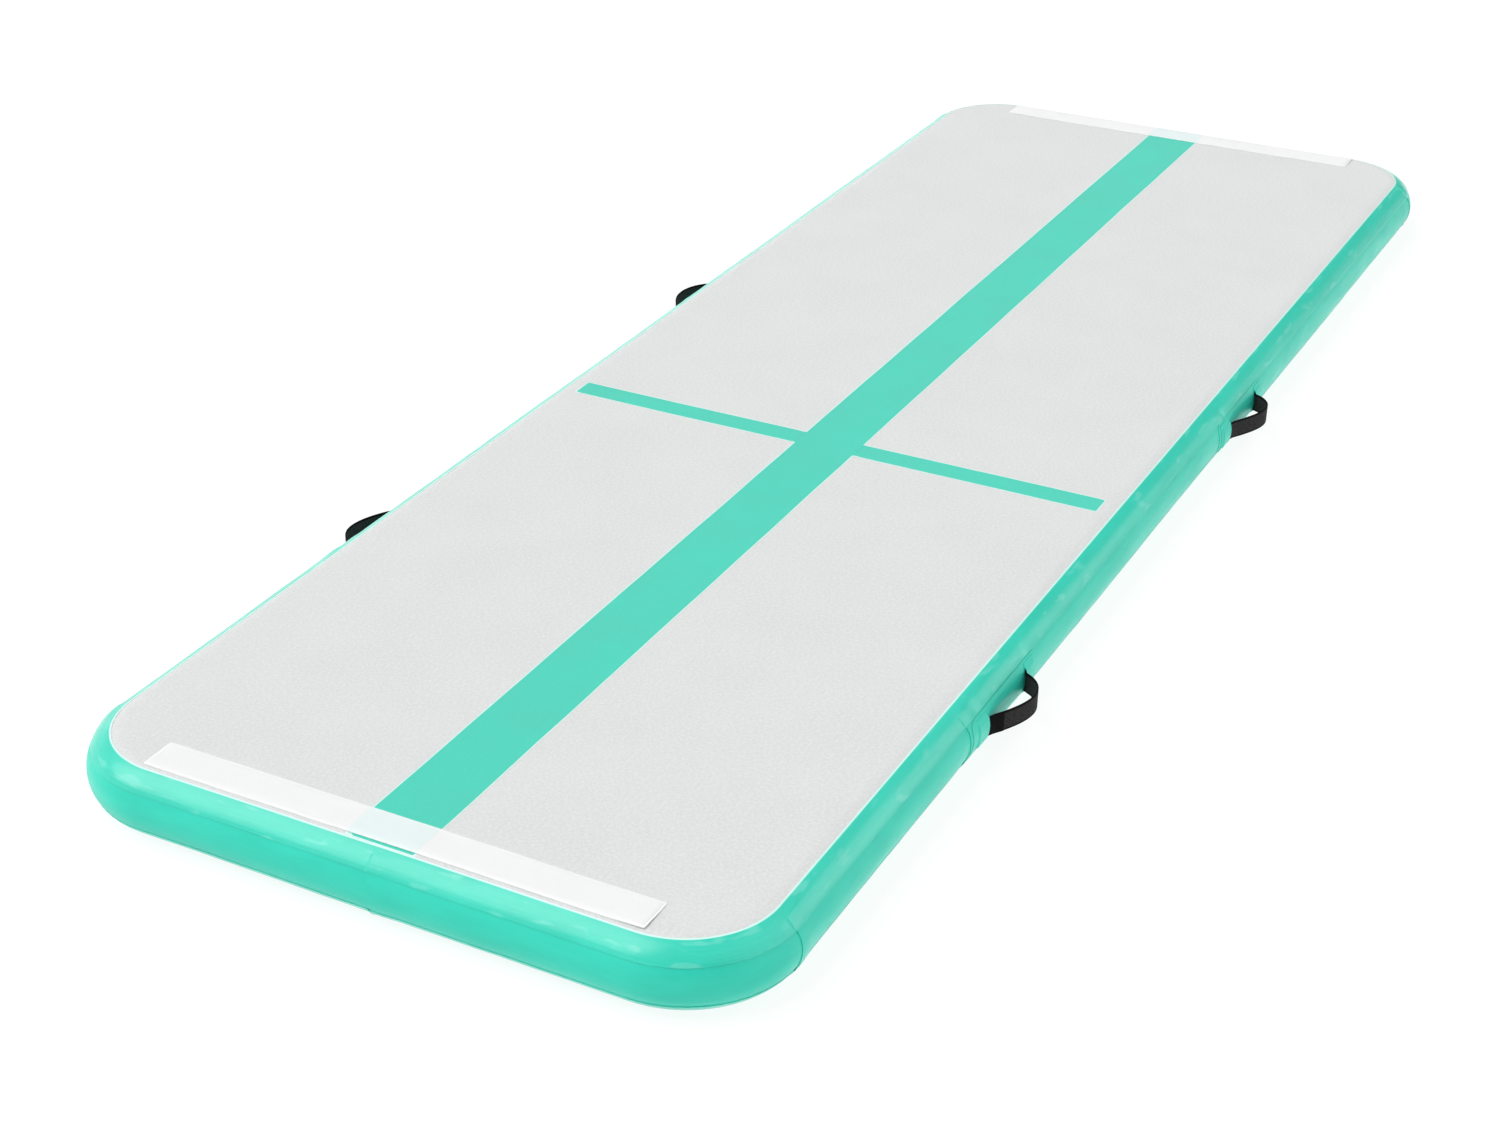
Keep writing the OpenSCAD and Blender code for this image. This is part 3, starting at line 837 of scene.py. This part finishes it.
class Nodes:
    """A node tree, with short calls for the nodes used here."""

    def __init__(self, tree):
        self.tree = tree

    def node(self, kind, inputs, **settings):
        """New node; inputs holds the value or source of its sockets, by name or number."""
        node = self.tree.nodes.new(kind)
        for key, value in settings.items():
            setattr(node, key, value)
        for key, value in inputs.items():
            self.feed(node.inputs[key], value)
        return node

    def feed(self, socket, value):
        if isinstance(value, bpy.types.NodeSocket):
            self.tree.links.new(value, socket)
        else:
            socket.default_value = value

    def math(self, operation, a, b=0.0, c=0.0):
        return self.node("ShaderNodeMath", {0: a, 1: b, 2: c}, operation=operation).outputs[0]

    def range(self, value, low, high, to_low=0.0, to_high=1.0, kind="LINEAR"):
        """value taken from the range low to high on to the other range, and held at its ends."""
        inputs = {0: value, 1: low, 2: high, 3: to_low, 4: to_high}
        return self.node("ShaderNodeMapRange", inputs, interpolation_type=kind).outputs[0]

    def parts(self, vector):
        """The x, y and z of a vector."""
        return self.node("ShaderNodeSeparateXYZ", {0: vector}).outputs


class Recipe(Nodes):
    """One material; the constants are inputs of its shader, by name."""

    def __init__(self, name, roughness, **constants):
        self.material = bpy.data.materials.new(name)
        self.material.use_nodes = True
        super().__init__(self.material.node_tree)
        self.shader = self.tree.nodes["Principled BSDF"]
        self.shader.inputs["Roughness"].default_value = roughness
        for socket in self.shader.inputs:
            key = socket.name.lower().replace(" ", "_")
            if key in constants:
                socket.default_value = constants[key]

    def attribute(self, name, output="Vector"):
        return self.node("ShaderNodeAttribute", {}, attribute_name=name).outputs[output]

    def place(self):
        return self.node("ShaderNodeTexCoord", {}).outputs["Object"]

    def stretch(self, vector, scale):
        return self.node("ShaderNodeMapping", {"Vector": vector, "Scale": scale}).outputs[0]

    def noise(self, vector, size, detail=3.0, rough=0.55):
        """Noise from 0 to 1 with features of about that size in metres."""
        inputs = {"Vector": vector, "Scale": 1 / size, "Detail": detail, "Roughness": rough}
        return self.node("ShaderNodeTexNoise", inputs).outputs["Fac"]

    def mix(self, share, a, b):
        """Colour a turning into b as share goes from 0 to 1."""
        return self.node("ShaderNodeMix", {0: share, 6: a, 7: b}, data_type="RGBA").outputs[2]

    def weave(self, vector, pitch_u, pitch_v, twill=0.0):
        """Height of a weave from -1 to 1; twill slants its rows."""
        u, v, _ = self.parts(vector)
        if twill:
            u = self.math("MULTIPLY_ADD", v, twill, u)
        along = self.math("SINE", self.math("MULTIPLY", u, TURN / pitch_u))
        across = self.math("SINE", self.math("MULTIPLY", v, TURN / pitch_v))
        return self.math("MULTIPLY", along, across)

    def bump(self, height, distance, strength=1.0):
        inputs = {"Height": height, "Distance": distance, "Strength": strength}
        normal = self.shader.inputs["Normal"]
        if normal.is_linked:
            inputs["Normal"] = normal.links[0].from_socket
        self.feed(normal, self.node("ShaderNodeBump", inputs).outputs["Normal"])

    def colour(self, value):
        self.feed(self.shader.inputs["Base Color"], value)

    def roughness(self, value):
        self.feed(self.shader.inputs["Roughness"], value)


GREY = (0.655, 0.670, 0.664, 1)
GREY_SHADE = (0.636, 0.652, 0.646, 1)
MINT = (0.034, 0.655, 0.495, 1)
MINT_SHADE = (0.026, 0.595, 0.445, 1)
GREY_FLECK = (0.77, 0.785, 0.778, 1)
MINT_GRAIN = (0.09, 0.70, 0.56, 1)
# Painted glint streaks on the tape
MINT_GLINT = (0.40, 0.86, 0.76, 1)
# Painted highlight line along the tape's top edge
TAPE_EDGE_HIGHLIGHT = (0.70, 0.93, 0.88, 1)
MARKING = (0.050, 0.590, 0.450, 1)
MARKING_SHADE = (0.058, 0.562, 0.430, 1)
MARKING_GRAIN = (0.12, 0.70, 0.57, 1)
# Painted highlight line along the markings' cut edges
MARKING_EDGE_HIGHLIGHT = (0.80, 0.93, 0.90, 1)
HOOK_WHITE = (0.89, 0.89, 0.89, 1)
HOOK_SHADE = (0.80, 0.81, 0.81, 1)
HOOK_OVER_MINT = (0.66, 0.85, 0.83, 1)
# Pitch of the base weave under the coatings, and of the band fabric's
WEAVE, BAND_WEAVE = 1.3 * MM, 1.15 * MM


def grey_fabric():
    """Coated face fabric with a fine leathery grain over the base weave."""
    m = Recipe("grey_coated_fabric", 0.55, specular_ior_level=0.35)
    cloth = m.attribute("cloth")
    grain = m.noise(cloth, 2.4 * MM, 4.0, 0.65)
    patches = m.noise(cloth, 160 * MM, 2.0)
    speckle = m.noise(cloth, 1.1 * MM, 1.0)
    base = m.mix(m.range(patches, 0.35, 0.65), GREY, GREY_SHADE)
    flecks = m.range(m.noise(cloth, 4.4 * MM, 3.0, 0.7), 0.42, 0.70, 0, 0.65)
    m.colour(m.mix(flecks, base, GREY_FLECK))
    m.roughness(m.range(speckle, 0.3, 0.7, 0.48, 0.62))
    m.bump(m.weave(cloth, WEAVE, WEAVE), 0.12 * MM, 0.6)
    m.bump(grain, 0.5 * MM, 0.7)
    return m.material


def mint_vinyl(name, roughness, coat, pale, ridges):
    """Glossy coated band fabric.

    pale sets the painted highlight line along its edge and its painted glint streaks, ridges how deep
    the lines along it are."""
    m = Recipe(name, roughness, specular_ior_level=0.22, coat_weight=coat, coat_roughness=0.12)
    cloth = m.attribute("cloth")
    edge = m.attribute("edge", "Fac")
    grain = m.noise(cloth, 1.8 * MM, 3.0, 0.6)
    clouds = m.noise(m.stretch(cloth, (0.4, 1.6, 1)), 45 * MM, 3.0)
    base = m.mix(m.range(clouds, 0.3, 0.7), MINT, MINT_SHADE)
    base = m.mix(m.range(grain, 0.3, 0.75, 0, 0.12), base, MINT_GRAIN)
    # Pale streaks stretched along the tape are painted glints
    glint_streaks = m.noise(m.stretch(cloth, (0.30, 1, 1)), 15 * MM, 2.0, 0.4)
    base = m.mix(m.range(glint_streaks, 0.60, 0.69, 0, 0.20 * pale), base, MINT_GLINT)
    # The band along the tape's top edge is painted pale: a painted highlight line
    m.colour(m.mix(m.range(edge, 1.8 * MM, 3.0 * MM, pale, 0.0), base, TAPE_EDGE_HIGHLIGHT))
    m.roughness(m.range(clouds, 0.3, 0.7, roughness - 0.05, roughness + 0.07))
    m.bump(m.weave(cloth, BAND_WEAVE, BAND_WEAVE), 0.05 * MM, 0.5)
    m.bump(grain, 0.14 * MM, 0.5)
    m.bump(m.noise(m.stretch(cloth, (0.03, 1, 1)), 5 * MM, 2.0), ridges, 0.7)
    m.bump(m.noise(m.stretch(cloth, (0.6, 1.4, 1)), 22 * MM, 2.0), 1.3 * MM, 0.4)
    return m.material


def mint_marking(line_x, line_half_w, stripe_half_w):
    """Satin mint sheet of the stripe and cross line, with the grain of the fabric below.

    Its cut edge is painted pale as a highlight line, except where the two meet."""
    m = Recipe("mint_marking_sheet", 0.5, specular_ior_level=0.4)
    cloth = m.attribute("cloth")
    edge = m.attribute("edge", "Fac")
    x, y, _ = m.parts(m.place())
    pale_start, pale_end = 1.0 * MM, 1.9 * MM
    from_line = m.math("ABSOLUTE", m.math("SUBTRACT", x, line_x))
    from_middle = m.math("ABSOLUTE", y)
    off_line = m.range(from_line, line_half_w - pale_end, line_half_w - pale_start)
    off_stripe = m.range(from_middle, stripe_half_w + 2.0 * MM, stripe_half_w + 2.5 * MM)
    off_crossing = m.math("MAXIMUM", off_line, off_stripe)
    # The pale band along the cut edge is a painted highlight
    pale = m.math("MULTIPLY", m.range(edge, pale_start, pale_end, 0.8, 0.0), off_crossing)
    grain = m.noise(cloth, 3.2 * MM, 4.0, 0.65)
    patches = m.noise(cloth, 120 * MM, 2.0)
    base = m.mix(m.range(patches, 0.35, 0.65), MARKING, MARKING_SHADE)
    base = m.mix(m.range(grain, 0.38, 0.72, 0, 0.3), base, MARKING_GRAIN)
    m.colour(m.mix(pale, base, MARKING_EDGE_HIGHLIGHT))
    m.roughness(m.range(grain, 0.3, 0.7, 0.42, 0.56))
    m.bump(m.weave(cloth, WEAVE, WEAVE), 0.08 * MM, 0.5)
    m.bump(grain, 0.3 * MM, 0.5)
    return m.material


def hook_tape():
    """White hook tape: tiny hooks between two flat woven edges; the stripe shows through."""
    m = Recipe("white_hook_tape", 0.6, specular_ior_level=0.4, sheen_weight=0.2)
    cloth = m.attribute("cloth")
    edge = m.attribute("edge", "Fac")
    inside = m.range(edge, 2.8 * MM, PILE_FULL)
    from_middle = m.math("ABSOLUTE", m.parts(m.place())[1])
    over_stripe = m.range(from_middle, STRIPE_HALF_W - 1 * MM, STRIPE_HALF_W + 1 * MM, 0.5, 0)
    rows = m.weave(cloth, 2.2 * MM, 1.7 * MM)
    cells = m.noise(cloth, 1.2 * MM, 2.0, 0.7)
    white = m.mix(m.range(cells, 0.3, 0.7), HOOK_WHITE, HOOK_SHADE)
    tinted = m.mix(over_stripe, white, HOOK_OVER_MINT)
    m.colour(m.mix(m.math("MULTIPLY", m.math("SUBTRACT", 1.0, inside), 0.3), tinted, HOOK_SHADE))
    m.bump(m.math("MULTIPLY", rows, inside), 0.35 * MM, 0.5)
    m.bump(m.math("MULTIPLY", cells, m.range(edge, PILE_START, PILE_FULL, 0.35, 1)), 0.6 * MM, 0.7)
    return m.material


def black_webbing():
    """Woven polypropylene webbing: dark grey ribs, painted shade in their hollows, painted shine
    flecks, darker bound edges, painted shade on one strap's fold.
    """
    m = Recipe("black_webbing", 0.8, specular_ior_level=0.1)
    cloth = m.attribute("cloth")
    edge = m.attribute("edge", "Fac")
    ribs = m.weave(cloth, 1.6 * MM, 2.1 * MM, twill=0.5)
    fuzz = m.noise(m.stretch(cloth, (1, 3, 1)), 0.9 * MM, 3.0, 0.7)
    hollow, ridge = (0.006, 0.006, 0.006, 1), (0.024, 0.024, 0.024, 1)
    worn, shine, bound_edge_and_fold_shade = (0.05, 0.05, 0.05, 1), (0.085, 0.082, 0.085, 1), (0.001, 0.001, 0.001, 1)
    # The hollows between the ribs are painted darker: painted shade
    face = m.mix(m.range(ribs, -0.8, 0.9), hollow, ridge)
    face = m.mix(m.range(fuzz, 0.5, 0.85, 0, 0.5), face, worn)
    flecks = m.noise(cloth, 2.2 * MM, 2.0, 0.8)
    face = m.mix(m.range(flecks, 0.42, 0.7, 0, 0.8), face, shine)
    # Darker towards the edges; over the doubled part of one strap the same dark is painted shade
    m.colour(m.mix(m.range(edge, 2.4 * MM, 3.8 * MM, 1.0, 0.0), face, bound_edge_and_fold_shade))
    m.roughness(m.range(fuzz, 0.3, 0.7, 0.6, 0.8))
    m.bump(ribs, 0.5 * MM, 0.8)
    m.bump(fuzz, 0.2 * MM, 0.5)
    return m.material


def moulded_plastic(name, low, high, roughness):
    """Injection-moulded plastic: spark-eroded grain and faint flow marks."""
    m = Recipe(name, roughness, specular_ior_level=0.5)
    place = m.place()
    grain = m.noise(place, 0.7 * MM, 3.0, 0.6)
    flow = m.noise(m.stretch(place, (1, 3, 1)), 9 * MM, 2.0)
    m.colour(m.mix(m.range(flow, 0.3, 0.7), low, high))
    m.roughness(m.range(grain, 0.3, 0.7, roughness - 0.08, roughness + 0.1))
    m.bump(grain, 0.06 * MM, 0.6)
    return m.material


def soft_rubber():
    """Black rubber of the gaskets and seals, a little dusty."""
    m = Recipe("black_rubber", 0.75, specular_ior_level=0.3)
    place = m.place()
    dust = m.noise(place, 3 * MM, 4.0, 0.6)
    clean, dusty = (0.012, 0.012, 0.012, 1), (0.045, 0.045, 0.044, 1)
    m.colour(m.mix(m.range(dust, 0.4, 0.8, 0, 0.6), clean, dusty))
    m.bump(m.noise(place, 0.5 * MM, 2.0), 0.05 * MM, 0.6)
    return m.material


def drawn_steel():
    """Steel wire and clip of the valve, with the fine lines of drawing."""
    m = Recipe("spring_steel_wire", 0.25, metallic=1.0)
    place = m.place()
    lines = m.noise(m.stretch(place, (8, 1, 1)), 1.5 * MM, 3.0)
    m.colour(m.mix(m.range(lines, 0.3, 0.7), (0.55, 0.55, 0.56, 1), (0.72, 0.72, 0.73, 1)))
    m.roughness(m.range(lines, 0.3, 0.7, 0.18, 0.34))
    m.bump(lines, 0.01 * MM, 0.5)
    return m.material


def yarn_fibre():
    """Drop-stitch yarn: white strands along z."""
    m = Recipe("white_polyester_yarn", 0.6, specular_ior_level=0.4, sheen_weight=0.3)
    place = m.place()
    strands = m.noise(m.stretch(place, (1, 1, 0.08)), 0.25 * MM, 3.0)
    light, shade = (0.82, 0.82, 0.80, 1), (0.66, 0.66, 0.64, 1)
    m.colour(m.mix(m.range(strands, 0.3, 0.7), light, shade))
    m.bump(strands, 0.08 * MM, 0.7)
    return m.material


def liner_fabric():
    """Plain mint fabric of the inner side wall."""
    m = Recipe("mint_liner_fabric", 0.5, specular_ior_level=0.4)
    place = m.place()
    grain = m.noise(place, 1.6 * MM, 3.0)
    m.colour(m.mix(m.range(grain, 0.3, 0.7), MINT_SHADE, (0.05, 0.50, 0.39, 1)))
    m.bump(grain, 0.12 * MM, 0.5)
    return m.material


# ---- studio ----

def light_table():
    """White light table: it glows a little, so that the shadows on it stay pale."""
    m = Recipe("studio_floor", 0.8, specular_ior_level=0.0, emission_strength=0.86)
    m.colour(m.mix(m.noise(m.place(), 0.8, 2.0), (0.17, 0.17, 0.17, 1), (0.19, 0.19, 0.19, 1)))
    m.shader.inputs["Emission Color"].default_value = (1, 1, 1, 1)
    return m.material


def surroundings():
    """Even white room, brightest low down, with the soft boxes of the list below."""
    world = bpy.data.worlds.new("studio")
    world.use_nodes = True
    room = Nodes(world.node_tree)
    way = room.node("ShaderNodeTexCoord", {}).outputs["Generated"]
    total = room.range(room.parts(way)[2], *HORIZON_TOP, 1.0, ROOM_LIGHT, kind="SMOOTHSTEP")
    for towards, inner, outer, radiance in SOFT_BOXES:
        inputs = {0: way, 1: Vector(towards).normalized()}
        facing = room.node("ShaderNodeVectorMath", inputs, operation="DOT_PRODUCT").outputs["Value"]
        edges = (math.cos(math.radians(outer)), math.cos(math.radians(inner)))
        box = room.range(facing, *edges, 0.0, radiance, kind="SMOOTHSTEP")
        total = room.math("ADD", box, total)
    background = room.tree.nodes["Background"]
    room.feed(background.inputs["Strength"], room.math("MAXIMUM", total, DARKEST))
    room.feed(background.inputs["Color"], (1, 1, 1, 1))
    bpy.context.scene.world = world


ROOM_LIGHT = 0.54
# No direction gets darker than this
DARKEST = 0.1
# Between these heights, as sines, the white low part of the room fades into the rest
HORIZON_TOP = (0.14, 0.40)
# Direction, the radii in degrees at which it starts to fade and is gone, and added radiance of each
# round soft box; the last two are dark flags
SOFT_BOXES = [
    ((-0.30, 0.54, 0.79), 10, 34, 3.8),
    ((0.30, -0.85, 0.35), 20, 60, 0.55),
    ((0.72, -0.60, 0.34), 5, 17, 1.6),
    ((0.93, -0.30, 0.17), 12, 32, -0.8),
    ((-0.72, -0.69, 0.00), 8, 50, -0.62),
]


def studio():
    """White floor and surroundings."""
    scene = bpy.context.scene
    half, below_mat = 30.0, 0.4 * MM
    corners = [(-half, -half, 0), (half, -half, 0), (half, half, 0), (-half, half, 0)]
    mesh = bpy.data.meshes.new("floor")
    mesh.from_pydata(corners, [], [(0, 1, 2, 3)])
    floor = bpy.data.objects.new("floor", mesh)
    floor.location.z = -below_mat
    scene.collection.objects.link(floor)
    mesh.materials.append(light_table())
    surroundings()
    scene.view_settings.view_transform = "Standard"


def camera():
    """The photograph's viewpoint, over the near end from its right, fitted to the mat's outline."""
    data = bpy.data.cameras.new("camera")
    data.sensor_width = 36
    data.lens = 61.609
    data.shift_x, data.shift_y = 0.0800, 0.0023
    data.clip_start, data.clip_end = 0.05, 100
    obj = bpy.data.objects.new("camera", data)
    obj.location = (-3.5045, -1.4863, 1.8242)
    obj.rotation_euler = [math.radians(d) for d in (61.626, 0.254, -60.825)]
    bpy.context.scene.collection.objects.link(obj)
    bpy.context.scene.camera = obj


# ---- putting it together ----

def paint(obj, material):
    """Gives a piece its one material, in its one material slot."""
    obj.data.materials.clear()
    obj.data.materials.append(material)


def paint_nodes(names, material):
    """Gives CAD nodes that stay as they are a better material."""
    for name in names:
        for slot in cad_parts[name].material_slots:
            slot.material = material


camera()
studio()

grey = grey_fabric()
glossy_mint = mint_vinyl("mint_band_vinyl", 0.36, 0.08, 0.0, 0.2 * MM)
tape_mint = mint_vinyl("mint_tape_vinyl", 0.34, 0.55, 0.95, 1.1 * MM)
stripe_low, stripe_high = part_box("centre_stripe")
line_low, line_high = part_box("cross_line_left")
line_x, line_half_w = (line_low.x + line_high.x) / 2, (line_high.x - line_low.x) / 2
marking_mint = mint_marking(line_x, line_half_w, stripe_high.y)
webbing_black = black_webbing()
white_hooks = hook_tape()

paint(face_sheet("top_sheet", "top_skin", True), grey)
paint(face_sheet("bottom_sheet", "bottom_skin", False), grey)

for name, start, end in zip(BANDS, SEAMS, SEAMS[1:] + [RIM]):
    fabric, flat = band(name, start, end)
    if name == "far_band_left":
        cut_valve_hole(fabric)
    paint(fabric, glossy_mint)
    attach(fabric, "mat")
    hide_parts(name)

paint(tape("top_edge_tape_strip", "top_edge_tape", 0), tape_mint)
paint(tape("bottom_edge_tape_strip", "bottom_edge_tape", 1), tape_mint)

# The stripe runs down the shoulder to just short of the tape, and the cross line starts at its edge
stripe_reach = FLAT_L + WALL_R * (TAPE_START - 0.007)
stripe = marking("centre_stripe", (-stripe_reach, stripe_low.y), (stripe_reach, stripe_high.y),
                 columns=280, rows=12)
paint(stripe, marking_mint)
line_start, line_end = stripe_high.y + GAP, line_high.y
for name, y0, y1 in (("cross_line_left", line_start, line_end),
                     ("cross_line_right", -line_end, -line_start)):
    line = marking(name, (line_low.x, y0), (line_high.x, y1), columns=12, rows=50)
    paint(line, marking_mint)

paint(hook_strip("near_hook_strip", -1), white_hooks)
paint(hook_strip("far_hook_strip", 1), white_hooks)

for handle in HANDLES:
    paint(webbing(handle), webbing_black)
    paint(patch(handle), glossy_mint)
    for piece in flaps(handle):
        paint(piece, glossy_mint)

collar = seat_patch()
paint(collar, glossy_mint)
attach(collar, "mat")
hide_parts("valve_seat_patch")

rubber = soft_rubber()
dark_plastic = moulded_plastic(
    "dark_grey_moulding", (0.040, 0.042, 0.045, 1), (0.052, 0.054, 0.058, 1), 0.42)
black_plastic = moulded_plastic(
    "black_moulding", (0.014, 0.014, 0.015, 1), (0.022, 0.022, 0.023, 1), 0.38)
white_plastic = moulded_plastic(
    "white_moulding", (0.80, 0.80, 0.79, 1), (0.72, 0.72, 0.71, 1), 0.35)
paint_nodes(["valve_body", "valve_back_nut"], dark_plastic)
paint_nodes(["valve_leash", "valve_leash_ring"], black_plastic)
cap = valve_cap()
paint(cap, black_plastic)
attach(cap, "valve_cap_set")
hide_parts("valve_cap")
paint_nodes(["valve_button", "valve_stem"], white_plastic)
paint_nodes(["valve_outer_gasket", "valve_inner_gasket", "valve_seal_disc", "valve_cap_seal"], rubber)
steel = drawn_steel()
paint(valve_spring(), steel)
paint_nodes(["valve_stem_clip"], steel)
paint_nodes(["drop_stitch_yarns"], yarn_fibre())
paint_nodes(["inner_side_wall"], liner_fabric())
